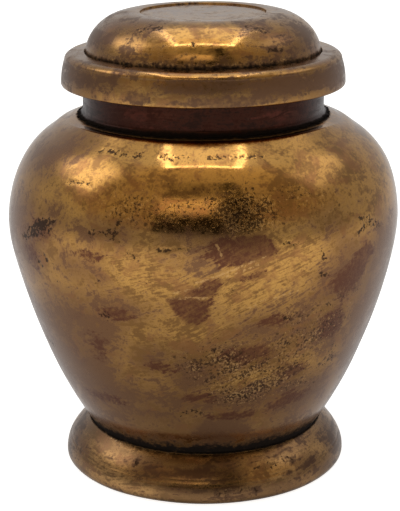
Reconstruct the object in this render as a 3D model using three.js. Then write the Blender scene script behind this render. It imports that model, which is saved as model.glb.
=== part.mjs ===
// Cremation urn in cast bronze: a hollow vessel on a hollow foot ring, a neck ring soldered
// to its shoulder, and a lid that rests on the neck and lifts off.
// Millimetres, +Z up. The origin is on the ground, under the middle of the foot.

import * as THREE from 'three';

// Whole urn
const sides = 48; // facets round the axis
const joint = 0.3; // open joint between two pieces that touch

// Foot ring
const footRadius = 70.2; // widest, at the lower band
const footEdge = 3.5; // radius of the rounded lower edge
const footHeight = 22; // where the vessel leaves the foot
const footTopRadius = 58.1;
const footInnerRadius = 62.7; // inner side of the band that it stands on
const footBulge = 8; // how far the band runs upright before it turns in
const footSlope = [6.4, -4.8]; // run of the sloped top, from the joint outwards
const footLip = 2.3; // width of the top edge that the vessel sits in
const footBore = [3.7, -3.1, 7]; // inner wall: run under the lip, and its upright end

// Vessel
const bellyRadius = 95;
const bellyHeight = 127;
const seatRadius = footTopRadius - 0.4; // belly where it enters the foot
const seatLean = [22.3, 33.5]; // direction and pull of the belly as it leaves the foot
const bellyPull = 21.5; // upright pull below the widest circle
const bottomRound = 7; // corner under the foot, between the belly and the bottom
const shoulderRun = 42.5; // half axes of the shoulder's quarter ellipse
const shoulderRise = 50;
const mouthRadius = 54.5;
const vesselWall = 2.5;

// Neck ring
const neckRadius = 58.2;
const neckBore = 55;
const neckTop = 190.6;
const neckFillet = 3.4; // flare at the foot of the neck
const neckChamfer = 0.5;

// Lid, heights above the underside of its rim
const lidSeat = neckTop + joint;
const rimRadius = 68.4;
const rimTaper = 1.8; // how much the side leans in towards its top
const rimSide = 12.1; // height of the side
const rimCorner = 0.8;
const rimCrown = 3.4; // rise of the top face, from the side to the crease
const rimRound = [3.2, 3.1]; // run and rise of the rounded upper edge
const crease = 0.5; // sunk line between rim and dome
const domeRadius = 56.7;
const domeFlat = 34; // radius of the level top
const domeFoot = 13.1; // height of the dome's widest circle
const domeRise = 20.8;
const recessRadius = 30.1;
const recessDepth = 0.8;
const recessCorner = 0.3;
const lidWall = 3;
const rimHollow = 63.4; // widest radius of the space inside the rim
const skirtRadius = neckBore - 0.5; // guide that drops into the neck
const skirtWall = 2.5;
const skirtDepth = 8.4;

const point = (radius, height) => new THREE.Vector2(radius, height);

// Points on an ellipse round (radius, height), from one angle to another in degrees.
// Angle 0 points outwards and 90 up.
function arc(radius, height, run, rise, from, to, steps) {
  const points = [];
  for (let i = 0; i <= steps; i += 1) {
    const angle = THREE.MathUtils.degToRad(from + ((to - from) * i) / steps);
    points.push(point(radius + run * Math.cos(angle), height + rise * Math.sin(angle)));
  }
  return points;
}

// Points on a smooth curve that leaves its start along one handle and meets its end along the other.
function curve(start, startHandle, endHandle, end, steps) {
  const first = start.clone().add(point(...startHandle));
  const last = end.clone().add(point(...endHandle));
  return new THREE.CubicBezierCurve(start, first, last, end).getPoints(steps);
}

// The same outline moved inwards by a wall's thickness, square to each of its points.
function inset(outline, wall) {
  return outline.map((here, i) => {
    const before = outline[Math.max(i - 1, 0)];
    const after = outline[Math.min(i + 1, outline.length - 1)];
    const along = after.clone().sub(before).normalize();
    return point(here.x - wall * along.y, here.y + wall * along.x);
  });
}

// A piece turned round the Z axis. Its outline runs up the outside and down the inside.
function turned(name, outline, finish, closed) {
  const path = closed ? [...outline, outline[0].clone()] : outline;
  const geometry = new THREE.LatheGeometry(path, sides);
  geometry.rotateX(Math.PI / 2);
  const mesh = new THREE.Mesh(geometry, new THREE.MeshStandardMaterial(finish));
  mesh.name = name;
  return mesh;
}

function footRing() {
  const top = point(footTopRadius, footHeight);
  const lean = point(...seatLean).normalize();
  const lip = top.clone().addScaledVector(lean, -footLip);
  const [boreRun, boreDrop, boreEnd] = footBore;
  const outline = [
    point(footInnerRadius, 0),
    ...arc(footRadius - footEdge, footEdge, footEdge, footEdge, -90, -22.5, 3),
    ...curve(point(footRadius, footEdge), [0, footBulge], footSlope, top, 7),
    ...curve(lip, [boreRun, boreDrop], [0, boreEnd], point(footInnerRadius, boreEnd), 4),
  ];
  return turned('foot_ring', outline, { color: 0x7d5a34, roughness: 0.4, metalness: 0.9 }, true);
}

// Outside of the vessel: the corner under the foot, the belly and the shoulder up to the mouth.
function vesselSkin(cornerSteps, bellySteps, shoulderSteps) {
  const lean = THREE.MathUtils.radToDeg(Math.atan2(seatLean[1], seatLean[0]));
  const cornerRadius = seatRadius - bottomRound * Math.sin(THREE.MathUtils.degToRad(lean));
  const bottom = footHeight - bottomRound * (1 - Math.cos(THREE.MathUtils.degToRad(lean)));
  const corner = arc(
    cornerRadius, bottom + bottomRound, bottomRound, bottomRound, -90, lean - 90, cornerSteps,
  );
  const widest = point(bellyRadius, bellyHeight);
  const belly = curve(point(seatRadius, footHeight), seatLean, [0, -bellyPull], widest, bellySteps);
  const shoulderCentre = bellyRadius - shoulderRun;
  const mouth = THREE.MathUtils.radToDeg(Math.acos((mouthRadius - shoulderCentre) / shoulderRun));
  const shoulder = arc(
    shoulderCentre, bellyHeight, shoulderRun, shoulderRise, 0, mouth, shoulderSteps,
  );
  return [...corner, ...belly.slice(1), ...shoulder.slice(1)];
}

function vessel() {
  const outside = vesselSkin(3, 10, 10);
  const inside = inset(vesselSkin(2, 6, 6), vesselWall).reverse();
  inside[0].x = mouthRadius;
  const outline = [
    point(0, outside[0].y),
    ...outside,
    ...inside,
    point(0, inside[inside.length - 1].y),
  ];
  return turned('vessel', outline, { color: 0x8c6534, roughness: 0.35, metalness: 0.9 }, false);
}

// Height of the shoulder at a radius under the neck.
function shoulderAt(radius) {
  const across = (radius - (bellyRadius - shoulderRun)) / shoulderRun;
  return bellyHeight + shoulderRise * Math.sqrt(1 - across * across);
}

function neckRing() {
  const flare = neckRadius + neckFillet;
  const seat = shoulderAt(flare) + joint;
  const outline = [
    point(neckBore, shoulderAt(neckBore) + joint),
    point(neckRadius, shoulderAt(neckRadius) + joint),
    point(flare, seat),
    ...arc(flare, seat + neckFillet + joint, neckFillet, neckFillet, 270, 180, 3),
    point(neckRadius, neckTop - neckChamfer),
    point(neckRadius - neckChamfer, neckTop),
    point(neckBore, neckTop),
  ];
  return turned('neck_ring', outline, { color: 0x5d4030, roughness: 0.45, metalness: 0.85 }, true);
}

// Outside of the lid, from the foot of its guide skirt up to the middle of the sunk disc.
function lidOutside() {
  const domeTop = domeFoot + domeRise;
  const domeRun = domeRadius - domeFlat;
  const creaseHeight = rimSide + rimCrown;
  const side = [];
  for (const part of [0, 0.4, 0.7, 1]) {
    const height = rimCorner + (rimSide - rimCorner) * part;
    side.push(point(rimRadius - rimTaper * part * part, height));
  }
  const rimTopRadius = rimRadius - rimTaper;
  const domeStart = THREE.MathUtils.radToDeg(Math.asin((creaseHeight + crease - domeFoot) / domeRise));
  return [
    point(skirtRadius, -skirtDepth),
    point(skirtRadius, 0),
    point(rimRadius - rimCorner, 0),
    ...side,
    ...arc(rimTopRadius - rimRound[0], rimSide, ...rimRound, 18, 90, 3),
    point(domeRadius + crease / 2, creaseHeight),
    point(domeRadius - crease / 2, creaseHeight - crease),
    ...arc(domeFlat, domeFoot, domeRun, domeRise, domeStart, 90, 8),
    point(recessRadius + recessCorner, domeTop),
    point(recessRadius, domeTop - recessCorner),
    point(recessRadius - recessCorner, domeTop - recessDepth),
    point(0, domeTop - recessDepth),
  ];
}

// Inside of the lid, from its ceiling down to the foot of the guide skirt.
function lidInside() {
  const ceiling = domeFoot + domeRise - recessDepth - lidWall;
  const run = domeRadius - domeFlat - lidWall;
  const rise = domeRise - lidWall;
  const start = THREE.MathUtils.radToDeg(Math.asin((ceiling - domeFoot) / rise));
  const hollowTop = rimSide - 1;
  return [
    point(0, ceiling),
    ...arc(domeFlat, domeFoot, run, rise, start, 0, 4),
    point(rimHollow - lidWall, hollowTop),
    point(rimHollow, hollowTop - lidWall),
    point(rimHollow, 2 * lidWall),
    point(rimHollow - lidWall, lidWall),
    point(skirtRadius - skirtWall, lidWall),
    point(skirtRadius - skirtWall, -skirtDepth),
  ];
}

function lid() {
  const outline = [...lidOutside(), ...lidInside()];
  const mesh = turned('lid', outline, { color: 0x87602f, roughness: 0.35, metalness: 0.9 }, true);
  mesh.position.z = lidSeat;
  return mesh;
}

const urn = new THREE.Group();
urn.add(footRing(), vessel(), neckRing(), lid());

export default urn;
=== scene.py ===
import math

import bpy
import numpy as np
from mathutils import Euler, Matrix


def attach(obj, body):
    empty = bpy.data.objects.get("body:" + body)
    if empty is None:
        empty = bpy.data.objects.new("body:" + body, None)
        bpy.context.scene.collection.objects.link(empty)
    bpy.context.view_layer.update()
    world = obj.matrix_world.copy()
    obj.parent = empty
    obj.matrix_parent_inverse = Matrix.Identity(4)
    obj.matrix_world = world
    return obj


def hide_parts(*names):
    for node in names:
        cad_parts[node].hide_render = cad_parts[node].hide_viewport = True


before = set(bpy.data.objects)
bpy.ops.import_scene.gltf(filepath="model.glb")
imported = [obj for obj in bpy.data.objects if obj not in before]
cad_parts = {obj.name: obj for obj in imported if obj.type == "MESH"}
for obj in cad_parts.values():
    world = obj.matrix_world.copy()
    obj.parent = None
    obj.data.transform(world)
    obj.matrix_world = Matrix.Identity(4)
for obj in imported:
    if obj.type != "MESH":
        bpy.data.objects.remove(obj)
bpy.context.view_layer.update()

print("frame loaded:", ", ".join(sorted(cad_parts)))


# Outlines, in mm as (radius, height), running up the outside and down the inside

# a cubic curve, (1-t)^3 start + 3 (1-t)^2 t first + 3 (1-t) t^2 last + t^3 end
def curvePoints(start, first, last, end, rows):
    t = np.linspace(0, 1, rows)[:, None]
    start, first, last, end = (np.array(p, float) for p in (start, first, last, end))
    pulls = 3 * (1 - t) ** 2 * t * first + 3 * (1 - t) * t ** 2 * last
    return (1 - t) ** 3 * start + pulls + t ** 3 * end


# part of an ellipse, (radius + run cos a, height + rise sin a)
def arcPoints(radius, height, run, rise, fromAngle, toAngle, rows):
    a = np.radians(np.linspace(fromAngle, toAngle, rows))
    return np.stack([radius + run * np.cos(a), height + rise * np.sin(a)], axis=1)


# a straight run, start + t (end - start)
def linePoints(start, end, rows):
    t = np.linspace(0, 1, rows)[:, None]
    return np.array(start, float) + t * (np.array(end, float) - np.array(start, float))


# runs set end to end, without the points that two of them share
def joinRuns(*runs):
    points = np.concatenate(runs)
    gaps = np.hypot(*np.diff(points, axis=0).T)
    return points[np.concatenate([[True], gaps > 0.01])]


# the side of an outline that faces outwards, (dz, -dr) over its length
def outlineNormals(outline, ring):
    if ring:
        step = np.roll(outline, -1, axis=0) - np.roll(outline, 1, axis=0)
    else:
        step = np.gradient(outline, axis=0)
    step = step / np.hypot(step[:, 0], step[:, 1])[:, None]
    return np.stack([step[:, 1], -step[:, 0]], axis=1)


# the angles of a grid's columns in degrees, 0 on the photographed side, close together there
def columnAngles(front, frontColumns, backColumns):
    near = np.linspace(-front, front, frontColumns, endpoint=False)
    return np.concatenate([near, np.linspace(front, 360 - front, backColumns, endpoint=False)])


# A turned piece: (r sin a, -r cos a, z) over column angle a and outline row, and its mesh

class Turned:
    def __init__(self, outline, angles, ring=True):
        self.ring = ring
        normals = outlineNormals(outline, ring)
        shape = (len(outline), len(angles))
        self.angle = np.broadcast_to((angles + 180) % 360 - 180, shape)
        self.radius = np.broadcast_to(outline[:, :1], shape)
        self.height = np.broadcast_to(outline[:, 1:], shape)
        self.outR = np.broadcast_to(normals[:, :1], shape)
        self.outZ = np.broadcast_to(normals[:, 1:], shape)
        along = np.concatenate([[0], np.cumsum(np.hypot(*np.diff(outline, axis=0).T))])
        self.along = np.broadcast_to(along[:, None], shape)
        self.layers = {}

    # every point moves along the outline's normal by so many mm
    def raiseBy(self, amount):
        self.radius = self.radius + amount * self.outR
        self.height = self.height + amount * self.outZ

    # slow waves round the piece, the sum of share sin(count a + lean z + phase)
    def waves(self, terms):
        a, z = np.radians(self.angle), self.height
        return sum(share * np.sin(count * a + lean * z + phase) for count, lean, phase, share in terms)

    # the grid as a mesh in metres, with the layers as values of its points
    def build(self, name):
        a = np.radians(self.angle)
        points = np.stack([self.radius * np.sin(a), -self.radius * np.cos(a), self.height], axis=-1)
        points = points.reshape(-1, 3) * 0.001
        rows, columns = self.radius.shape
        index = np.arange(rows * columns).reshape(rows, columns)
        low, high = (index, np.roll(index, -1, axis=0)) if self.ring else (index[:-1], index[1:])
        quads = np.stack([low, np.roll(low, -1, axis=1), np.roll(high, -1, axis=1), high], axis=-1)
        if self.ring:
            used = index.ravel()
            faces = quads.reshape(-1, 4).tolist()
        else:
            # each pole is one point, so the row of quads beside it is a fan of triangles
            first, last = index[0, 0], index[-1, 0]
            fanLow = np.stack([np.full(columns, first), np.roll(index[1], -1), index[1]], axis=-1)
            fanHigh = np.stack([index[-2], np.roll(index[-2], -1), np.full(columns, last)], axis=-1)
            used = np.concatenate([[first], index[1:-1].ravel(), [last]])
            place = np.zeros(len(points), int)
            place[used] = np.arange(len(used))
            faces = place[quads[1:-1].reshape(-1, 4)].tolist()
            faces += place[fanLow].tolist() + place[fanHigh].tolist()
        mesh = bpy.data.meshes.new(name)
        mesh.from_pydata(points[used].tolist(), [], faces)
        mesh.polygons.foreach_set("use_smooth", np.ones(len(faces), bool))
        mesh.set_sharp_from_angle(angle=math.radians(40))
        for layer, values in self.layers.items():
            data = mesh.attributes.new(layer, "FLOAT", "POINT").data
            data.foreach_set("value", np.asarray(values, np.float32).reshape(-1)[used])
        mesh.update()
        piece = bpy.data.objects.new(name, mesh)
        bpy.context.scene.collection.objects.link(piece)
        print("piece", name, len(mesh.vertices), "points")
        return piece


# Marks on a piece, given at (angle in degrees, height in mm)

acrossScale = 1.5  # mm of surface per degree, near enough at the belly


# mm from the outline's nearest side, positive inside it
def insideOutline(turned, corners):
    u, v = turned.angle * acrossScale, turned.height
    corners = np.array(corners, float) * [acrossScale, 1]
    nearest = np.full(u.shape, 1e9)
    inside = np.zeros(u.shape, bool)
    for (au, av), (bu, bv) in zip(corners, np.roll(corners, -1, axis=0)):
        length = (bu - au) ** 2 + (bv - av) ** 2
        t = np.clip(((u - au) * (bu - au) + (v - av) * (bv - av)) / length, 0, 1)
        nearest = np.minimum(nearest, np.hypot(u - au - t * (bu - au), v - av - t * (bv - av)))
        if bv != av:
            crosses = ((av > v) != (bv > v)) & (u < au + (v - av) * (bu - au) / (bv - av))
            inside ^= crosses
    return np.where(inside, nearest, -nearest)


# mm inside a stroke of some half width between two places
def insideStroke(turned, stroke):
    a1, z1, a2, z2, width = stroke
    u, v = turned.angle * acrossScale, turned.height
    au, bu = a1 * acrossScale, a2 * acrossScale
    length = (bu - au) ** 2 + (z2 - z1) ** 2 + 1e-6
    t = np.clip(((u - au) * (bu - au) + (v - z1) * (z2 - z1)) / length, 0, 1)
    return width - np.hypot(u - au - t * (bu - au), v - z1 - t * (z2 - z1))


# a bell, exp(-((value - middle) / width)^2)
def bell(value, middle, width):
    return np.exp(-((value - middle) / width) ** 2)


# a soft spot, a bell over the angle times a bell over the height
def softSpot(turned, spot):
    angle, height, width, rise, strength = spot
    return strength * bell(turned.angle, angle, width) * bell(turned.height, height, rise)


edgeReach = 5.0  # a layer of patches falls from 1 to 0 over this many mm on each side of an edge


# patches and strokes as one layer that is 0.5 along every edge
def patchLayer(turned, outlines=(), strokes=(), reach=edgeReach):
    depth = np.full(turned.angle.shape, -reach)
    for corners in outlines:
        depth = np.maximum(depth, insideOutline(turned, corners))
    for stroke in strokes:
        depth = np.maximum(depth, insideStroke(turned, stroke))
    return np.clip(0.5 + depth / (2 * reach), 0, 1)


# a base and the soft spots on it, held between 0 and most
def spotLayer(turned, spots, base=0.0, most=1.0):
    total = np.full(turned.angle.shape, base)
    for spot in spots:
        total = total + softSpot(turned, spot)
    return np.clip(total, 0, most)


# Shader maths

# a socket of a node tree; + - * / on it add Math nodes
class Signal:
    def __init__(self, tree, socket=None):
        self.tree, self.socket = tree, socket

    # any node: its settings first, then the values or links of its sockets
    def make(self, kind, settings=None, inputs=None, output=0):
        node = self.tree.nodes.new(kind)
        for key, value in (settings or {}).items():
            setattr(node, key, value)
        for key, value in (inputs or {}).items():
            if isinstance(value, Signal):
                self.tree.links.new(value.socket, node.inputs[key])
            else:
                node.inputs[key].default_value = value
        return Signal(self.tree, node.outputs[output] if node.outputs else None)

    def math(self, operation, first, second=0.0):
        return self.make("ShaderNodeMath", {"operation": operation}, {0: first, 1: second})

    def __add__(self, other):
        return self.math("ADD", self, other)

    def __radd__(self, other):
        return self.math("ADD", other, self)

    def __sub__(self, other):
        return self.math("SUBTRACT", self, other)

    def __rsub__(self, other):
        return self.math("SUBTRACT", other, self)

    def __mul__(self, other):
        return self.math("MULTIPLY", self, other)

    def __rmul__(self, other):
        return self.math("MULTIPLY", other, self)

    def __truediv__(self, other):
        return self.math("DIVIDE", self, other)

    def __rtruediv__(self, other):
        return self.math("DIVIDE", other, self)

    # 0 below low, 1 above high, an S between them; turned round where low is above high
    def ease(self, low, high):
        if low > high:
            return 1 - self.ease(high, low)
        return self.make("ShaderNodeMapRange", {"interpolation_type": "SMOOTHSTEP"},
                         {"Value": self, "From Min": low, "From Max": high})

    # 1 between low and high, soft at both ends
    def between(self, low, high, soft):
        return self.ease(low - soft, low + soft) * self.ease(high + soft, high - soft)

    def atMost(self, limit):
        return self.math("MINIMUM", self, limit)

    def atLeast(self, limit):
        return self.math("MAXIMUM", self, limit)


# colour a where amount is 0, colour b where it is 1
def tint(amount, a, b):
    full = [c if isinstance(c, Signal) else (*c, 1) for c in (a, b)]
    return amount.make("ShaderNodeMix", {"data_type": "RGBA"}, {0: amount, 6: full[0], 7: full[1]}, 2)


# coordinates turned about the Y axis, then divided by the size of one cloud, in metres, on each axis
def stretched(place, size, turn=0.0):
    return place.make("ShaderNodeMapping", {"vector_type": "TEXTURE"},
                      {"Vector": place, "Rotation": (0, turn, 0), "Scale": size})


# a noise, 0.5 on the whole
def cloud(place, scale, detail, rough, distortion=0.0):
    return place.make("ShaderNodeTexNoise", None, {
        "Vector": place, "Scale": scale, "Detail": detail, "Roughness": rough,
        "Distortion": distortion})


# round pits, one in each cell whose own number is below the density
def pits(place, scale, density, size):
    cell = {"Vector": place, "Scale": scale, "Randomness": 1.0}
    distance = place.make("ShaderNodeTexVoronoi", None, cell, "Distance")
    colour = place.make("ShaderNodeTexVoronoi", None, cell, "Color")
    number = place.make("ShaderNodeSeparateColor", None, {0: colour}, 0)
    wide = place.make("ShaderNodeSeparateColor", None, {0: colour}, 1)
    chosen = (density - number).ease(0.0, 0.06)
    return chosen * (distance / (0.5 + wide * 0.9)).ease(size, size * 0.4)


# aged bronze: gold ground, brown and red-brown patches, marks, pits, rub streaks and dark joints, with
# painted shade, painted reflections and painted glints among them
def bronzeFinish(name, look):
    material = bpy.data.materials.new(name)
    material.use_nodes = True
    tree = material.node_tree
    tree.nodes.clear()
    start = Signal(tree)
    place = start.make("ShaderNodeTexCoord", output="Object")

    def layer(title):
        return start.make("ShaderNodeAttribute", {"attribute_name": title}, None, "Fac")

    red, brown, clean = layer("redPatchAndReflection"), layer("brownPatchAndShade"), layer("cleanGoldAndHighlight")
    marks, light, joint = layer("darkMark"), layer("lightMark"), layer("darkJointAndShade")
    pitted, rubbed = layer("pitField"), layer("rubField")

    def vectorMath(operation, inputs):
        return start.make("ShaderNodeVectorMath", {"operation": operation}, inputs)

    # the place moved by so many metres along a cloud of vectors, which bends whatever is laid on it
    def stirred(scale, amount):
        noise = {"Vector": place, "Scale": scale, "Detail": 2.0}
        stir = start.make("ShaderNodeTexNoise", None, noise, "Color")
        centred = vectorMath("SUBTRACT", {0: stir, 1: (0.5, 0.5, 0.5)})
        small = vectorMath("SCALE", {0: centred, "Scale": amount})
        return vectorMath("ADD", {0: place, 1: small})

    # clouds that are 0 on the whole, from broad ones to fine, and streaks where the bronze is rubbed
    ragged, bent = stirred(700.0, 0.0014), stirred(16.0, 0.018)
    broad = cloud(place, 24.0, 4.0, 0.6, 0.8) - 0.5
    medium = cloud(place, 120.0, 6.0, 0.72, 0.5) - 0.5
    other = cloud(stretched(bent, (0.020, 0.020, 0.012)), 1.0, 6.0, 0.66, 0.8) - 0.5
    fine = cloud(place, 560.0, 3.0, 0.65) - 0.5
    turn, steep = look["rubTurn"], look["rubTurn"] * 1.6
    rubs = (cloud(stretched(bent, look["rubSize"], turn), 1.0, 5.0, 0.66, 0.15) - 0.5) * rubbed
    wipes = (cloud(stretched(bent, look["wipeSize"], steep), 1.0, 4.0, 0.62, 0.2) - 0.5) * rubbed
    hair = (cloud(stretched(bent, look["hairSize"], turn), 1.0, 2.0, 0.55) - 0.5) * rubbed

    # ground: gold where it is rubbed, deeper and redder where it isn't
    worn = 0.48 + broad * 1.1 + other * 1.9 + rubs * 1.9 + wipes * 1.8 + medium * 2.2 + fine * 1.3
    worn = worn + hair * 1.2 + clean * 0.26
    ground = tint(worn.ease(0.12, 0.80), look["goldDeep"], look["goldBright"])
    ground = tint((0.5 + medium * 1.5 - other * 1.8).ease(0.50, 0.80) * 0.65, ground, look["goldRed"])

    # brown glaze with fractal edges, thin and thick, then the crisp red-brown patches
    # the brown layer also carries painted shade and painted reflections
    glaze = brown * 0.78 + broad * 0.9 + other * 1.8 + medium * 2.6 + rubs * 1.9 + wipes * 1.9
    glaze = glaze + fine * 1.3 + hair * 0.9 - clean * 0.30 + look["glaze"]
    thin, thick = glaze.ease(0.10, 0.55), glaze.ease(0.50, 0.90)
    brownMask = thin * 0.45 + thick * 0.55
    colour = tint(thin * look["brownAmount"] * 0.62, ground, look["brown"])
    colour = tint(thick * look["brownAmount"], colour, look["brownDeep"])
    # the red layer also carries painted reflections on the lid's rim and the foot
    redMask = red + medium * 0.50 + rubs * 0.6 + wipes * 0.8 + fine * 0.45 + hair * 0.3
    redMask = redMask.ease(0.40, 0.62)
    redInner = (redMask * (0.84 + fine * 1.6 + wipes * 1.2 + other * 0.8)).atMost(1.0).atLeast(0.0)
    colour = tint(redInner, colour, look["red"])
    lightMask = (light + fine * 0.35 + medium * 0.1).ease(0.485, 0.525)
    colour = tint(lightMask * 0.55, colour, look["lightGold"])

    # grain in the pitted fields, dark where its cloud is high, and bright where it is low as painted
    # glints on the lumps; larger pits
    grain = cloud(ragged, 780.0, 3.0, 0.7)
    patchy = (pitted * (0.80 + other * 2.2 + rubs * 1.6 + wipes * 1.2)).atLeast(0.0)
    small = (grain + patchy * 0.185 - 0.025).ease(0.645, 0.715)
    lumpsAndGlints = (1.0 - grain + patchy * 0.175 - 0.05).ease(0.64, 0.73) * patchy.ease(0.05, 0.4)
    larger = pits(ragged, 430.0, patchy * 0.55 - 0.06, 0.42) * 0.85
    speck = small.atLeast(larger) * look["fleckAmount"] * (1.0 - lightMask)
    # painted glints: the lumps lightened towards light gold
    colour = tint(lumpsAndGlints * 0.55, colour, look["lightGold"])
    markMask = (marks + fine * 0.9 + medium * 0.4).ease(0.465, 0.575)
    dark = markMask.atLeast(speck)
    colour = tint(speck, colour, look["fleck"])
    colour = tint(markMask * 0.92, colour, look["soot"])
    # dark joints, and the painted shade carried with them: round the neck, under the lid, above the foot,
    # at the floor and inside the pieces
    jointAndShadeMask = (joint + fine * 1.3 * joint + medium * 1.4 * joint).ease(0.12, 0.85)
    colour = tint(jointAndShadeMask, colour, look["joint"])

    dull = (brownMask * look["brownAmount"]).atLeast(redInner).atMost(1.0)
    rough = look["roughClean"] + dull * (look["roughPatina"] - look["roughClean"])
    rough = rough + hair * 0.06 + wipes * 0.12 + medium * 0.10 + fine * 0.05
    rough = rough + dark * 0.14 + jointAndShadeMask * 0.75
    metal = 1.0 - jointAndShadeMask * 0.9

    height = lumpsAndGlints * 0.6 - speck * 0.6 - markMask * 0.6 + hair * 0.15 + wipes * 0.25 + fine * 0.35
    height = height + medium * 0.9 + redInner * 0.15
    bump = start.make("ShaderNodeBump", None, {
        "Strength": 1.0, "Distance": look["bumpDepth"], "Height": height})
    cover = look["coat"] * (1.0 - dark * 0.85 - jointAndShadeMask - redInner * 0.35).atLeast(0.0)
    shader = start.make("ShaderNodeBsdfPrincipled", None, {
        "Base Color": colour, "Metallic": metal.atLeast(0.0), "Normal": bump,
        "Roughness": rough.atLeast(0.07).atMost(1.0), "Specular IOR Level": 0.15,
        "Coat Weight": cover, "Coat Roughness": look["coatRough"], "Coat IOR": 1.45})
    start.make("ShaderNodeOutputMaterial", None, {"Surface": shader})
    return material


# a piece with its bronze, in place of its node in the frame
def finishPiece(piece, material, node):
    piece.data.materials.append(material)
    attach(piece, "root")
    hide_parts(node)


# the vessel's bronze, and the ground of the other three
gold = {
    "goldBright": (0.64, 0.335, 0.086), "goldDeep": (0.28, 0.135, 0.040),
    "goldRed": (0.34, 0.145, 0.050), "lightGold": (0.70, 0.40, 0.15), "brown": (0.225, 0.106, 0.050),
    "brownDeep": (0.190, 0.088, 0.044), "red": (0.150, 0.055, 0.027), "soot": (0.050, 0.026, 0.014),
    "fleck": (0.064, 0.032, 0.017), "joint": (0.010, 0.006, 0.004),
    "brownAmount": 0.82, "glaze": 0.16, "fleckAmount": 0.85, "bumpDepth": 0.00003,
    "roughClean": 0.10, "roughPatina": 0.29, "coat": 0.19, "coatRough": 0.14,
    # size of one streak in metres, along it and across it, and how it leans
    "rubSize": (0.030, 0.030, 0.0034), "wipeSize": (0.018, 0.018, 0.0018),
    "hairSize": (0.014, 0.014, 0.0008), "rubTurn": math.radians(-18),
}


# Vessel

vesselValues = {
    "seat": (57.7, 22.0), "seatLean": (22.3, 33.5), "belly": (95.0, 127.0), "bellyPull": 21.5,
    "shoulderRun": 42.5, "shoulderRise": 50.0, "mouthRadius": 54.5, "bottomRound": 7.0, "wall": 2.5,
    # the straight stretch up to the neck: where it leaves the ellipse in degrees, its top, its slope
    # and the radius at which it is back on the ellipse
    "coneFrom": 52.0, "coneTop": (67.2, 175.4), "coneSlope": math.radians(38.5), "coneEnd": 62.5,
    "skinFrom": 58.0,  # how far along the outline the outside begins
    "shoulderFrom": 150.0,  # height above which the shoulder's own values count
    # where the surface stands out: (angle, height, width, rise, mm)
    "bulges": [(-90, 118, 40, 16, 0.8), (90, 153, 40, 14, 0.7)],
    # where it is lower towards the sides: (radius, width, mm), growing over a range of degrees
    "dips": [(66.8, 2.6, 1.6), (74.0, 6.0, 0.5)], "dipsFrom": 50.0, "dipsOver": 35.0,
    "waves": [(5, 0.16, 0, 0.05), (9, -0.11, 1.3, 0.035), (14, 0.21, 4.0, 0.02), (3, -0.05, 0, 0.04)],
    "pitDepth": 0.12,
    "shadeAboveFoot": (24.0, 17.0, 0.75),  # brown painted shade on the belly just above the foot: from a height, over mm, how strong
    "footSeamAndShade": (2.0, 9.0, 0.88),  # dark at the foot's joint over mm, and weaker painted shade above it over more mm
    # dark round the neck: a dark joint over mm, and painted shade below the neck over more of them in
    # front, over degrees, how strong
    "neckSeamAndShade": (0.5, 2.5, 62.0, 0.95),
}
# crisp red-brown patches
vesselRed = {
    "centre": [
        (2.2, 138.4), (9.9, 139), (15.6, 139.7), (18.2, 136.5), (20.2, 132.2), (20, 130.2),
        (16.8, 128.6), (12.8, 127.4), (9.9, 126.6), (6.5, 125.4), (3.7, 126.4), (2.6, 128.4),
        (1.8, 132.5)],
    "tongue": [
        (4.2, 121), (4.8, 117), (3.7, 113.3), (1.4, 111), (-2.6, 111.7), (-4.9, 112.5), (-4, 115),
        (-1.5, 117.3), (0.8, 119.8)],
    "wedge": [
        (-10.4, 111), (-7.2, 111.7), (-3.2, 111.3), (1.9, 109.8), (1.4, 104.6), (-0.3, 98.3),
        (-2.6, 97.2), (-4.9, 97.8), (-7.2, 102.2), (-9.3, 107)],
    "underScratch": [
        (3.8, 119.8), (9.9, 121.2), (14.5, 123.2), (16.2, 122.5), (14.5, 120), (11, 118.9),
        (7.7, 119.0)],
}
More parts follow.
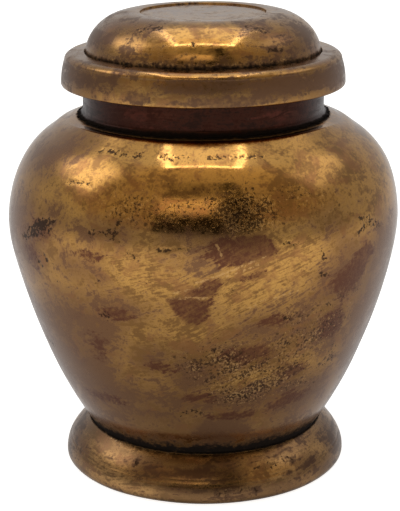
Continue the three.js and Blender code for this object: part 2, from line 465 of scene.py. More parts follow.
# softer brown areas with ragged edges; one of them is a painted reflection
vesselBrown = {
    "lowerLeft": [
        (-78, 96), (-59, 97), (-46, 104), (-36, 105), (-30, 104), (-22, 102), (-22, 93), (-26, 84),
        (-30, 75), (-31, 63), (-30, 52), (-42, 42), (-60, 44), (-78, 52)],
    "leftBand": [
        (-39.2, 104), (-34.6, 107.3), (-26.6, 109), (-19.8, 107), (-18.6, 103), (-19.8, 98.4),
        (-22.6, 95.5), (-27, 96), (-31.2, 97.5), (-34.6, 100), (-38, 102)],
    "leftSmear": [
        (-43, 121.5), (-36, 124), (-30, 124.6), (-28, 120), (-26.5, 117), (-30, 114), (-34, 117),
        (-40, 118)],
    "leftBlotch": [
        (-51.7, 139.9), (-46, 142.2), (-44.0, 138.9), (-47.3, 133.9), (-51.2, 128.4), (-54.6, 125.7),
        (-59.6, 126), (-60.2, 130.2), (-56.7, 135.9)],
    "leftEdge": [(-72, 150), (-60, 144), (-54, 134), (-53, 118), (-60, 108), (-78, 110), (-80, 140)],
    "leftShoulder": [
        (-34.6, 136.5), (-31.2, 138.9), (-26.6, 141.8), (-22, 142.5), (-22.8, 135), (-26.6, 134.2),
        (-30, 135.5)],
    "farShoulder": [(-80, 168), (-60, 174), (-44, 172), (-50, 166), (-55, 160), (-64, 154), (-80, 156)],
    "streaks": [
        (-13, 127), (-5, 131.5), (0, 137), (3, 139), (4, 129), (2, 123), (-5, 121.5), (-10, 122.5)],
    # painted reflection: brown along the lower edge of the tent's dark opening, as mirrored in the belly
    "openingReflectionEdge": [(-10, 139), (0, 137.5), (8, 137), (8, 140), (0, 142), (-9, 142.5)],
    "rightMass": [
        (32, 119), (36, 122), (42, 125), (49, 123), (54, 113), (55, 105), (48, 101), (44, 99),
        (35, 100.5), (28, 102), (26, 106), (31, 107.5), (34, 111), (32, 115)],
    "farRight": [
        (72, 134), (58, 134), (54, 124), (52, 113), (51, 104), (48, 92), (49, 78), (52, 63), (66, 44),
        (78, 46), (80, 66), (80, 110)],
    "lowMiddle": [(-9, 79), (-3, 84), (3, 79), (6, 70), (0, 62), (-5, 57), (-10, 59), (-12, 70)],
    "lowCentre": [(3, 87), (10, 88), (18, 86), (24, 84), (24, 78), (18, 74), (10, 73), (4, 75)],
    "lowLeftMiddle": [(-22, 84), (-17, 86), (-12, 82), (-13, 74), (-18, 71), (-22, 76)],
    "rightLow": [
        (12, 100), (16, 103), (25, 100), (40, 97), (49, 92), (49, 78), (44, 74), (30, 84), (21, 88),
        (14, 87), (10, 93)],
    "baseLeft": [(-60, 47), (-36, 50), (-12, 50), (-10, 45), (-34, 43), (-60, 41)],
    "baseMiddle": [(-1, 44), (8, 46), (15, 43), (14, 37), (4, 35), (-2, 38)],
    "baseRight": [(28, 54), (38, 56), (52, 60), (56, 44), (36, 42), (26, 46)],
    "backLeft": [(-170, 118), (-150, 128), (-120, 120), (-96, 104), (-100, 82), (-130, 70), (-165, 84)],
    "backRight": [(96, 96), (112, 112), (138, 118), (160, 98), (150, 70), (118, 58), (100, 74)],
    "backLow": [(176, 60), (-160, 66), (-130, 50), (-150, 38), (-176, 40)],
}
# dark dashes: from (angle, height) to (angle, height), half width in mm
vesselStrokes = {
    "dashCentre": (-12.4, 133.2, -9.3, 133.4, 0.55), "dashTail": (-9.3, 133.4, -3, 134.8, 0.12),
    "commaTop": (-20.3, 131.2, -19.0, 130.4, 0.45), "commaTail": (-19.0, 130.4, -18.8, 128.6, 0.4),
    "shoulderDash": (-45, 156.4, -38, 157.6, 0.45), "shoulderDash2": (-38, 157.6, -35, 156.6, 0.5),
    "spotLeft": (-30.2, 98.8, -28.8, 97.6, 0.9), "spotSmall": (-31.1, 114.6, -30.7, 114.5, 0.5),
    "rightMark1": (49, 139, 53.5, 137.4, 0.6), "rightMark2": (52.5, 136, 57, 134, 0.9),
    "rightMark3": (47.4, 132.8, 51, 134.2, 0.35), "rightMark4": (55, 133.6, 58.5, 132.2, 0.5),
    "rightEdge": (22.0, 135.0, 25.5, 133.0, 0.5), "rightSpot": (33.5, 117.8, 35.0, 116.8, 0.6),
    "rightDrop": (34, 128, 34.6, 124.2, 0.45), "rightSpotLow": (23.6, 98.4, 25.2, 97.6, 0.5),
    "lowPit1": (-4.5, 50.2, -2.2, 48.6, 0.6), "lowPit2": (-9, 47.4, -6.5, 48.4, 0.5),
    "blotch1": (-58.5, 127.8, -52, 133.5, 0.8), "blotch2": (-56.5, 131.5, -50, 136.5, 0.7),
    "blotch3": (-52.5, 134.5, -46.5, 139.2, 0.8), "blotch4": (-53, 137.4, -49, 139.4, 0.5),
    "blotch5": (-50.5, 131.0, -47.5, 135.5, 0.5), "blotch6": (-59.4, 129.5, -57.5, 126.6, 0.5),
    "speckle1": (-51, 121.5, -49.5, 119.5, 0.5), "speckle2": (-54, 117, -52.6, 115.6, 0.5),
    "smear1": (-33, 137.0, -26.5, 139.6, 0.4), "smear2": (-27, 138.2, -24.0, 136.4, 0.7),
    "smear3": (-25, 141.5, -23.4, 144.5, 0.5), "sideLeft": (-68, 71.5, -63, 69.6, 0.6),
    "sideLeftFar": (-62, 126, -57, 128.5, 0.8), "backDash": (-140, 141, -128, 143, 0.6),
    "backDash2": (118, 128, 126, 126.4, 0.7),
}
# light scratches through the patina, given in the same way
vesselScratches = {
    "long": (-2.5, 118.3, 7.0, 124.0, 0.35), "longTip": (7.0, 124.0, 16.5, 129.6, 0.30),
    "second": (6.0, 121.6, 15.0, 126.2, 0.25), "upright": (3.2, 136.0, 4.8, 129.8, 0.40),
    "wedgeTop": (-9.5, 110.9, 0.5, 111.2, 0.45), "tongueEdge": (-8.5, 113.2, -1.0, 116.6, 0.30),
    "lowRight": (14, 108, 27, 111.4, 0.30), "lowRight2": (8, 104, 14, 106.4, 0.25),
}
# cast-in pits along the shoulder: (angle, length in degrees)
shoulderPits = {
    "height": 169.9, "row": [
        (-34.5, 1.4), (-31.5, 1.0), (-28.6, 1.6), (-25.2, 1.2), (-22.4, 1.6), (-14.6, 1.8), (-11.6, 2.4),
        (-8.2, 2.2), (1.6, 0.8), (3.4, 1.6), (6.2, 0.8), (9.9, 1.4), (13.6, 1.8), (16.8, 2.2),
        (20.4, 1.2), (-5.0, 0.6), (-38.5, 0.8)],
}
# where fine pits are thick: (angle, height, width, rise, strength)
vesselPitSpots = [
    (-23, 149, 8, 9, 0.75), (-12, 150, 8, 9, 0.65), (2, 150, 14, 9, 0.75), (10, 150, 6, 9, 1.15),
    (12, 145, 7, 4, 0.6), (19, 150, 5, 7, 0.6), (27, 153, 8, 10, 0.55), (38, 150, 10, 12, 0.35),
    (-38, 148, 9, 12, 0.35), (-50, 118, 8, 10, 0.35), (8, 114, 3, 3.5, 0.85), (-3, 112, 5, 3, 0.35),
    (32, 86, 12, 13, 0.9), (10, 76, 12, 13, 0.9), (-2, 78, 7, 13, 0.7), (22, 66, 13, 10, 0.9),
    (12, 57, 12, 6, 0.8), (-4, 48, 7, 4, 0.6), (38, 62, 10, 10, 0.4), (25, 100, 6, 6, 0.4),
    (45, 100, 10, 14, 0.4), (-56, 136, 8, 8, 0.3), (60, 150, 14, 16, 0.25), (-140, 150, 26, 14, 0.4),
    (130, 145, 26, 16, 0.4), (180, 90, 40, 30, 0.3), (-110, 70, 20, 20, 0.3),
]
# where streaks of the red-brown are scattered
vesselDuskSpots = [
    (13, 81, 13, 7, 0.78), (30, 68, 11, 7, 0.68), (20, 98, 9, 6, 0.64), (42, 90, 9, 12, 0.72),
    (-14, 74, 8, 6, 0.64), (-26, 100, 8, 5, 0.72), (-36, 80, 9, 14, 0.58), (-2, 58, 11, 5, 0.66),
    (10, 46, 16, 4, 0.70), (34, 52, 11, 6, 0.72), (-32, 127, 9, 5, 0.62), (-52, 134, 9, 9, 0.66),
    (-58, 118, 7, 10, 0.60), (44, 112, 9, 9, 0.74), (52, 122, 6, 8, 0.66), (2, 131, 6, 5, 0.58),
    (-40, 50, 18, 5, 0.66), (26, 154, 8, 6, 0.50), (-170, 100, 20, 14, 0.62), (120, 110, 18, 12, 0.62),
    (-110, 90, 14, 12, 0.62),
]
# where the gold is darkened a little: a painted reflection of a dark thing to the right (the first two
# spots), and two darker spots low on the belly
vesselShadeSpots = [
    (36, 138, 8, 9, 0.55), (44, 128, 6, 6, 0.3), (-20, 66, 14, 8, 0.3), (20, 60, 20, 8, 0.3),
]
# where dark specks run together
vesselSootSpots = [
    (-56, 131, 6, 6, 0.60), (-50, 137, 5, 4, 0.58), (52, 136, 6, 3, 0.58), (-25, 139, 4, 3, 0.54),
    (34, 117, 4, 3, 0.55), (9, 148, 4, 4, 0.50), (12, 57, 12, 4, 0.48), (25, 84, 8, 5, 0.50),
    (38, 100, 6, 8, 0.50), (4, 84, 6, 4, 0.48), (46, 70, 6, 14, 0.49), (-30, 98, 4, 3, 0.52),
    (150, 130, 14, 10, 0.50), (-120, 120, 12, 10, 0.50),
]
# where the surface is streaked by rubbing
vesselRubSpots = [
    (-14, 120, 18, 12, 1.0), (12, 114, 14, 13, 1.0), (28, 122, 14, 14, 0.9), (0, 98, 24, 8, 0.5),
    (0, 134, 14, 5, 0.6), (-12, 60, 30, 10, 0.4), (12, 66, 20, 8, 0.4), (6, 76, 44, 26, 0.6),
    (180, 110, 60, 24, 0.8), (-110, 110, 30, 20, 0.5), (100, 112, 30, 20, 0.5),
]
# where the gold is clean and bright
vesselCleanSpots = [
    (-12, 121, 16, 9, 1.0), (14, 112, 9, 10, 0.9), (17, 122, 8, 4, 0.6), (-18, 63, 9, 9, 0.7),
    (14, 66, 9, 6, 0.8), (0, 168, 40, 8, 0.9), (28, 128, 9, 12, 0.8), (-40, 150, 12, 8, 0.4),
    (-20, 90, 6, 6, 0.5), (-5, 92, 6, 4, 0.5), (0, 60, 6, 5, 0.5), (-42, 84, 14, 16, 0.3),
    (100, 150, 40, 14, 0.5), (-100, 150, 40, 14, 0.5), (180, 130, 40, 20, 0.5), (85, 110, 12, 30, 0.4),
]


# height of the shoulder's ellipse, centre + rise sqrt(1 - across^2)
def shoulderHeight(radius):
    v = vesselValues
    across = (radius - (v["belly"][0] - v["shoulderRun"])) / v["shoulderRun"]
    return v["belly"][1] + v["shoulderRise"] * np.sqrt(1 - across * across)


# the vessel: its outline turned round, each point moved out by bulges, waves and dips
def makeVessel():
    v = vesselValues
    lean = math.atan2(v["seatLean"][1], v["seatLean"][0])
    seat, belly = np.array(v["seat"]), np.array(v["belly"])
    run, rise, corner = v["shoulderRun"], v["shoulderRise"], v["bottomRound"]
    cornerRadius, bottom = seat[0] - corner * math.sin(lean), seat[1] - corner * (1 - math.cos(lean))
    centre = belly[0] - run
    # the shoulder runs almost straight for a while before it turns in to meet its ellipse by the neck
    turn, end = math.radians(v["coneFrom"]), v["coneEnd"]
    leave = np.array([centre + run * math.cos(turn), belly[1] + rise * math.sin(turn)])
    down = np.array([-run * math.sin(turn), rise * math.cos(turn)])
    slope = np.array([-math.cos(v["coneSlope"]), math.sin(v["coneSlope"])])
    top = np.array(v["coneTop"])
    cone = [leave, leave + 3.0 * down / np.hypot(*down), top - 5.0 * slope, top, top + 1.0 * slope,
            (end + 1.5, shoulderHeight(end) - 0.1), (end, shoulderHeight(end))]
    ends = [math.degrees(math.acos((r - centre) / run)) for r in (end, v["mouthRadius"])]

    def skin(cornerRows, bellyRows, shoulderRows):
        leanAngle = math.degrees(lean) - 90
        return joinRuns(
            arcPoints(cornerRadius, bottom + corner, corner, corner, -90, leanAngle, cornerRows),
            curvePoints(seat, seat + v["seatLean"], belly - [0, v["bellyPull"]], belly, bellyRows),
            arcPoints(centre, belly[1], run, rise, 0, v["coneFrom"], shoulderRows * 5 // 9),
            curvePoints(*cone[:4], shoulderRows // 5),
            curvePoints(*cone[3:], shoulderRows // 6),
            arcPoints(centre, belly[1], run, rise, *ends, shoulderRows // 9))

    outside = skin(7, 98, 81)
    thin = skin(4, 12, 20)
    inside = (thin - v["wall"] * outlineNormals(thin, False))[::-1]
    inside[0] = [v["mouthRadius"], inside[0, 1]]
    outline = joinRuns(linePoints((0, bottom), (cornerRadius - 1, bottom), 4), outside,
                       inside, linePoints((30, inside[-1, 1]), (0, inside[-1, 1]), 3))
    turned = Turned(outline, columnAngles(64, 340, 110), ring=False)
    skinLength = np.hypot(*np.diff(outside, axis=0).T).sum()
    outer = (turned.along > v["skinFrom"]) & (turned.along < v["skinFrom"] + skinLength)
    a, z = turned.angle, turned.height
    upper = z > v["shoulderFrom"]

    # hand-made unevenness; towards the sides and the back the shoulder is lower by the neck
    aside = np.clip((np.abs(a) - v["dipsFrom"]) / v["dipsOver"], 0, 1)
    low = sum(depth * bell(turned.radius, at, width) for at, width, depth in v["dips"])
    low = low * aside * aside * (3 - 2 * aside) * upper * (turned.radius > end)
    bulge = sum(softSpot(turned, spot) for spot in v["bulges"])
    turned.raiseBy(np.where(outer, bulge - low + turned.waves(v["waves"]), 0.0))

    # painted shade: the belly browned towards the foot
    shadeFrom, shadeOver, shadeMost = v["shadeAboveFoot"]
    shadeAboveFoot = shadeMost * bell(np.maximum(z, shadeFrom), shadeFrom, shadeOver)
    brown = patchLayer(turned, vesselBrown.values(), reach=9.0) + shadeAboveFoot
    pitsAt = shoulderPits["height"]
    pitRow = [(at - size / 2, pitsAt, at + size / 2, pitsAt + 0.15, 0.42)
              for at, size in shoulderPits["row"]]
    dashes = patchLayer(turned, strokes=[*vesselStrokes.values(), *pitRow])
    # the dark joint at the foot, and painted shade on the belly above it
    near, far, most = v["footSeamAndShade"]
    lowSeamAndShade = bell(z, seat[1], near) + most * bell(np.maximum(z, seat[1]), seat[1], far)
    # the dark joint round the neck, widened in front by painted shade on the shoulder below it
    width, more, degrees, most = v["neckSeamAndShade"]
    ridge = neckValues["radius"] + neckValues["fillet"]
    seamWidth = width + more * bell(a, 0, degrees)
    highSeamAndShade = most * bell(np.maximum(turned.radius, ridge), ridge, seamWidth) * upper
    crisp = patchLayer(turned, vesselRed.values())
    turned.layers = {
        "redPatchAndReflection": np.maximum(crisp, spotLayer(turned, vesselDuskSpots)),
        "brownPatchAndShade": np.clip(brown + spotLayer(turned, vesselShadeSpots), 0, 1.3),
        "darkMark": np.maximum(dashes, spotLayer(turned, vesselSootSpots)),
        "lightMark": patchLayer(turned, strokes=vesselScratches.values()),
        "pitField": spotLayer(turned, vesselPitSpots, most=1.4),
        "cleanGoldAndHighlight": spotLayer(turned, vesselCleanSpots),
        "rubField": spotLayer(turned, vesselRubSpots, base=0.18),
        # inside, the vessel is painted dark as shade
        "darkJointAndShade": np.clip(np.where(outer, lowSeamAndShade + highSeamAndShade, 0.6), 0, 1),
    }
    # the larger pits are sunk in the mesh
    sunk = np.clip((turned.layers["darkMark"] - 0.5) * 2 * edgeReach / 0.6 + 0.4, 0, 1)
    turned.raiseBy(np.where(outer, -v["pitDepth"] * sunk, 0.0))
    piece = turned.build("urnVessel")
    finishPiece(piece, bronzeFinish("vesselBronze", gold), "vessel")


# Foot ring

footValues = {
    "radius": 70.2, "edge": 3.5, "height": 22.0, "topRadius": 58.1, "innerRadius": 62.7, "bulge": 8.0,
    "slope": (6.4, -4.8), "lip": 2.3, "bore": (3.7, -3.1, 7.0),
    "grooves": [(11.6, 0.09), (9.6, 0.03)], "grooveWidth": 0.5,  # (height, depth)
    "waves": [(4, 0.3, 0, 0.05), (9, -0.4, 2, 0.035)],
    "solderFill": 0.24,  # solder fills most of the joint, so the lip stands closer to the vessel
    "seam": (0.5, 0.9),  # dark under the upper edge: over mm, how strong
    "ground": (2.0, 0.25),  # painted shade at the floor, given in the same way
    # specks of solder on the upper edge: (angle, mm up, half width)
    "solder": [
        (-51, 0, 0.5), (-47.5, 0.1, 0.35), (-44, -0.3, 0.4), (-36, 0, 0.3), (-31, 0.1, 0.4),
        (-27.5, 0, 0.3), (-22, 0.2, 0.3), (-18, 0, 0.4), (-14, 0.1, 0.3), (-10.5, 0, 0.3),
        (33, 0.1, 0.3), (40, 0, 0.25)],
}
footFinish = dict(
    gold, goldBright=(0.48, 0.262, 0.096), goldDeep=(0.19, 0.100, 0.039), goldRed=(0.22, 0.100, 0.043),
    brown=(0.110, 0.053, 0.028), brownDeep=(0.080, 0.038, 0.021), red=(0.100, 0.048, 0.026),
    lightGold=(0.60, 0.38, 0.18), glaze=0.20, roughClean=0.24, roughPatina=0.38,
    rubSize=(0.03, 0.03, 0.005), rubTurn=math.radians(-5),
)
# marks of the foot, given as on the vessel
footBrown = {
    # painted reflection of the dark belly above, brown in the middle in front
    "middle": [
        (-32, 18.8), (-10, 18.8), (13, 18.8), (17, 15), (15, 11), (0, 11.4), (-20, 11.8), (-30, 12.5)],
    "left": [(-90, 21), (-60, 20), (-56, 9), (-90, 5)],
    "right": [(60, 21), (84, 20), (84, 6), (64, 9)],
    "topLeft": [(-60, 21.8), (-40, 21.8), (-38, 20), (-58, 19)],
    "topRight": [(30, 21.8), (60, 21.8), (60, 18), (36, 19.4)],
    "round": [(43, 12.5), (48, 14), (54, 12), (55, 9), (50, 7.8), (44, 9)],
    "lowMiddle": [(-18, 9), (12, 8.6), (14, 5.5), (-16, 5.5)],
    "back": [(120, 18), (160, 17), (170, 6), (130, 5)],
    "lowRight": [(16, 7.6), (34, 8), (40, 5), (36, 2), (14, 3)],
    "lowFarRight": [(50, 9), (66, 9), (66, 2), (54, 3)],
}
footStrokes = [
    (22, 15.6, 23.5, 15.2, 0.35), (25, 14.6, 26.2, 16.4, 0.4), (28, 16.6, 28.6, 14.2, 0.4),
    (34.5, 15.4, 35.6, 16.4, 0.4), (38, 16.2, 39.6, 15.4, 0.4), (5, 7.6, 5.6, 5.8, 0.4),
    (7.4, 8, 8.0, 5.4, 0.45), (14.2, 7.2, 14.6, 6.2, 0.35), (17, 7.6, 17.8, 6.2, 0.45),
    (19.8, 6.6, 20.2, 5.0, 0.35), (-31, 16.4, -29, 14.8, 0.4), (30, 15.6, 31, 14.6, 0.3),
]
footPitSpots = [
    (27, 15, 8, 3, 0.6), (38, 15.5, 5, 2.5, 0.5), (10, 6.5, 9, 2.5, 0.5), (-30, 15, 5, 3, 0.4),
    (-70, 12, 16, 6, 0.3), (150, 12, 40, 6, 0.4),
]
# where the foot is dull and red-brown; the first spot, in the middle in front, is a painted reflection of
# the dark belly above
footDullAndReflectionSpots = [(-5, 14.6, 18, 3.4, 0.75), (-24, 15, 6, 2, 0.5), (50, 11, 7, 3, 0.5)]
footCleanSpots = [
    (-44, 14, 14, 4, 0.6), (28, 13, 14, 5, 1.0), (-6, 10.4, 14, 0.8, 0.9), (30, 10.8, 5, 0.8, 0.9),
    (-62, 7, 12, 4, 0.5), (-30, 6, 16, 3, 0.7), (-90, 12, 20, 6, 0.4), (0, 20.6, 60, 1.2, 0.9),
    (60, 15, 12, 6, 0.7), (-64, 15, 12, 5, 0.7),
]


# the foot ring: its outline turned round, each point moved out by waves and in by grooves
def makeFoot():
    v = footValues
    radius, edge, inner = v["radius"], v["edge"], v["innerRadius"]
    lean = np.array(vesselValues["seatLean"]) / np.hypot(*vesselValues["seatLean"])
    top = np.array([v["topRadius"], v["height"]])
    lip = top - v["lip"] * lean
    side = np.array([radius, edge])
    end = np.array([inner, v["bore"][2]])
    outline = joinRuns(
        linePoints((inner, 0), (radius - edge, 0), 4),
        arcPoints(radius - edge, edge, edge, edge, -90, 0, 14),
        curvePoints(side, side + [0, v["bulge"]], top + v["slope"], top, 104),
        linePoints(top, lip, 5),
        curvePoints(lip, lip + v["bore"][:2], end + [0, v["bore"][2]], end, 20),
        linePoints(end, (inner, 0), 8)[:-1])
    turned = Turned(outline, columnAngles(64, 280, 150))
    z = turned.height
    outer = (turned.outR > 0.05) & (turned.radius > 57.5)
    groove = sum(depth * bell(z, at, v["grooveWidth"]) for at, depth in v["grooves"])
    turned.raiseBy(np.where(outer, turned.waves(v["waves"]) - groove, 0.0))
    turned.raiseBy(np.where((turned.outR < -0.2) & (z > 19.0), v["solderFill"], 0.0))

    # a dark line inside the joint, with specks of solder on the edge that it leaves open
    (seamWidth, seamMost), (floorShadeWidth, floorShadeMost) = v["seam"], v["ground"]
    seam = seamMost * bell(np.minimum(z, v["height"]), v["height"], seamWidth)
    # painted shade round the bottom of the foot, by the floor
    seam = seam + floorShadeMost * bell(z, 0, floorShadeWidth)
    solder = [(at, 21.3 + lift, at + 0.5, 21.35 + lift, size) for at, lift, size in v["solder"]]
    turned.layers = {
        "redPatchAndReflection": spotLayer(turned, footDullAndReflectionSpots),
        "brownPatchAndShade": patchLayer(turned, footBrown.values(), reach=8.0),
        "darkMark": patchLayer(turned, strokes=footStrokes),
        "lightMark": patchLayer(turned, strokes=solder),
        "pitField": spotLayer(turned, footPitSpots),
        "cleanGoldAndHighlight": spotLayer(turned, footCleanSpots),
        "rubField": np.full(z.shape, 0.9),
        # the foot's underside and inside are painted black as shade
        "darkJointAndShade": np.clip(np.where(outer, seam, 1.0), 0, 1),
    }
    piece = turned.build("urnFoot")
    finishPiece(piece, bronzeFinish("footBronze", footFinish), "foot_ring")


# Neck ring

neckValues = {
    "radius": 58.2, "bore": 55.0, "top": 190.6, "fillet": 2.5, "chamfer": 0.5, "joint": 0.3,
    # the deposit round its foot is jagged: waves of its edge, and the mm over which they fade
    "jags": [(23, 0, 1.0, 0.3), (41, 0, 2.2, 0.3), (67, 0, 0.4, 0.3), (113, 0, 0, 0.3)],
    "jagReach": 1.1,
    "seam": (0.7, 1.1, 60.0),  # height of the dark line at its foot, and the painted shade that widens it more in front, over degrees
    "underLidShade": (1.5, 0.35),  # painted shade under the lid: over mm, how strong
}
# the neck's dark brown patina, with its gold painted darker still as shade under the lid's rim
neckFinishAndShade = dict(
    gold, goldBright=(0.082, 0.023, 0.011), goldDeep=(0.031, 0.008, 0.004), goldRed=(0.085, 0.022, 0.013),
    lightGold=(0.10, 0.05, 0.03), brown=(0.030, 0.011, 0.007), brownDeep=(0.022, 0.009, 0.006),
    red=(0.10, 0.028, 0.018), soot=(0.012, 0.006, 0.004), fleck=(0.014, 0.007, 0.005),
    roughClean=0.26, roughPatina=0.40, coat=0.10, coatRough=0.25, rubSize=(0.02, 0.02, 0.0018),
    wipeSize=(0.012, 0.012, 0.0010), rubTurn=math.radians(-1),
)


# the neck ring: its outline turned round, with the flare's edge slid in and out along the shoulder
def makeNeck():
    v = neckValues
    radius, bore, fillet, joint = v["radius"], v["bore"], v["fillet"], v["joint"]
    flare = radius + fillet
    seat = shoulderHeight(flare) + joint
    start = seat + fillet + joint
    under = np.linspace(bore, flare, 8)
    outline = joinRuns(
        np.stack([under, shoulderHeight(under) + joint], axis=1),
        arcPoints(flare, start, fillet, fillet, 270, 180, 22),
        linePoints((radius, start), (radius, v["top"] - v["chamfer"]), 24),
        linePoints((radius - v["chamfer"], v["top"]), (bore, v["top"]), 4),
        linePoints((bore, v["top"]), (bore, shoulderHeight(bore) + joint), 10)[:-1])
    turned = Turned(outline, columnAngles(80, 360, 200))
    z = turned.height
    edge = bell(turned.radius, flare, v["jagReach"]) * (z < seat + 1.5)
    slide = turned.waves(v["jags"]) * edge
    turned.height = z + shoulderHeight(turned.radius + slide) - shoulderHeight(turned.radius)
    turned.radius = turned.radius + slide

    # the dark line at the neck's foot, with painted shade that widens it in front
    low, more, degrees = v["seam"]
    seam = bell(np.maximum(z, seat), seat, low + more * bell(turned.angle, 0, degrees))
    # painted shade under the lid
    seam = seam + v["underLidShade"][1] * bell(z, v["top"], v["underLidShade"][0])
    turned.layers = {
        "redPatchAndReflection": spotLayer(turned, [(34, 184, 22, 5, 0.5)]),
        "brownPatchAndShade": np.full(z.shape, 0.5),
        "pitField": np.full(z.shape, 0.25),
        "cleanGoldAndHighlight": spotLayer(turned, [(-20, 186, 10, 3, 0.5), (50, 184, 12, 4, 0.5)]),
        "rubField": np.full(z.shape, 0.8),
        "darkJointAndShade": np.clip(seam, 0, 1),
    }
    piece = turned.build("urnNeck")
    finishPiece(piece, bronzeFinish("neckBronzeAndShade", neckFinishAndShade), "neck_ring")


# Lid

# its sizes and the heights of its outline, above the underside of the rim; marks are above the floor
lidValues = {
    "seat": 190.9, "rimRadius": 68.4, "rimTaper": 1.8, "rimSide": 12.1, "rimCorner": 0.8,
    "rimCrown": 3.4, "rimRound": (4.6, 3.1), "rimHollow": 63.4, "crease": 0.5, "wall": 3.0,
    "domeRadius": 56.7, "domeFlat": 34.0, "domeFoot": 13.1, "domeRise": 20.8,
    "recessRadius": 30.1, "recessDepth": 0.8, "recessCorner": 0.3,
    "skirtRadius": 54.5, "skirtWall": 2.5, "skirtDepth": 8.4,
    "waves": [(3, 0.2, 0, 0.04), (7, -0.25, 1, 0.032), (12, 0.3, 0, 0.02)],
    "marksFrom": (31.0, 6.0),  # marks are placed by angle, so inside this radius they fade out, over mm
    "sideBrown": (199.0, 4.5, 0.35),  # brown round the rim's side: height, over mm, how strong
    "creaseSeam": (0.5, 0.80), "recessSeam": (0.45, 0.55),  # dark there: over mm, how strong
}
lidFinish = dict(
    gold, goldBright=(0.69, 0.370, 0.102), goldDeep=(0.31, 0.155, 0.048), goldRed=(0.32, 0.14, 0.055),
    brown=(0.155, 0.077, 0.043), brownDeep=(0.115, 0.056, 0.033), red=(0.19, 0.098, 0.052), glaze=0.20,
    roughClean=0.13, roughPatina=0.46, rubSize=(0.03, 0.03, 0.005), rubTurn=math.radians(-4),
)
# marks of the lid, given as on the vessel
lidBrown = {
    "rimRight": [(18, 204), (52, 204), (52, 194), (30, 195), (20, 197)],
    "rimFarRight": [(52, 204), (86, 204), (86, 191), (56, 192)],
    "rimLeft": [(-48, 204), (-34, 204), (-34, 198), (-46, 197)],
    "rimFarLeft": [(-88, 205), (-48, 205), (-46, 192), (-88, 191)],
    "domeLeft": [(-62, 224), (-50, 222.6), (-50, 214), (-56, 208), (-90, 208), (-100, 222)],
    "domeTopLeft": [(-46, 223.4), (-28, 223.6), (-26, 221.6), (-40, 219.6), (-48, 220.6)],
    "domeTopRight": [(24, 223.6), (42, 223.2), (44, 219.4), (34, 219.0), (26, 221.4)],
    "domeRight": [(30, 215), (46, 216), (60, 222), (74, 222), (78, 208), (50, 208), (36, 209)],
    "rimBack": [(120, 204), (175, 204), (170, 193), (126, 195)],
    "domeBack": [(150, 222), (178, 220), (170, 211), (148, 212)],
    "domeFoot": [
        (-80, 211), (-40, 210.5), (0, 210), (40, 210.5), (80, 211), (80, 207), (0, 206.6), (-80, 207)],
    "crown": [(-80, 207), (0, 206.9), (80, 207), (80, 205.7), (0, 205.7), (-80, 205.7)],
}
lidStrokes = {
    "pitsLeft1": (-41, 220.9, -38, 221.3, 0.3), "pitsLeft2": (-37, 221.6, -33, 221.9, 0.3),
    "pitsLeft3": (-31, 222.2, -26, 222.6, 0.3), "pitsRight1": (26, 222.6, 30, 222.3, 0.3),
    "pitsRight2": (31, 222.0, 36, 221.6, 0.35), "pitsRight3": (34, 221.0, 36, 220.6, 0.3),
    "notch": (-8, 216.3, -5, 216.8, 0.25), "sideMark": (33, 212.6, 42, 213.6, 0.35),
}
# where the rim's side is dull and brown; the first spot, in the middle in front, is a painted reflection
# of the tent's dark opening
lidDullAndReflectionSpots = [
    (-3, 200.5, 22, 4.5, 0.95), (-2, 193, 40, 2.5, 0.42), (34, 199, 18, 6, 0.75), (66, 198, 14, 8, 0.9),
    (-64, 200, 14, 6, 0.55), (-26, 195, 6, 3, 0.5), (10, 193, 14, 2.5, 0.6), (140, 199, 24, 5, 0.6),
    (-150, 198, 20, 5, 0.6),
]
lidPitSpots = [
    (-34, 221, 10, 1.5, 0.8), (32, 221.5, 8, 1.5, 0.8), (0, 208.2, 80, 1.3, 1.0), (-6, 217, 4, 1, 0.6),
    (0, 200, 16, 3, 0.4), (-24, 200, 8, 3, 0.3), (44, 200, 5, 4, 0.5), (50, 217, 10, 3, 0.4),
    (150, 214, 50, 6, 0.35), (-140, 212, 30, 5, 0.35),
]
# where the gold is clean and bright; the first two spots, on the dome's front, are a painted highlight
# where the panel above is mirrored
lidCleanAndHighlightSpots = [
    (0, 221, 16, 3, 1.0), (0, 216, 22, 4, 1.0), (0, 204.8, 60, 1.0, 1.0), (-28, 198, 14, 4, 0.8),
    (0, 193, 60, 2.0, 0.35), (20, 198, 6, 3, 0.4), (-40, 212, 10, 4, 0.6), (180, 218, 60, 6, 0.6),
]


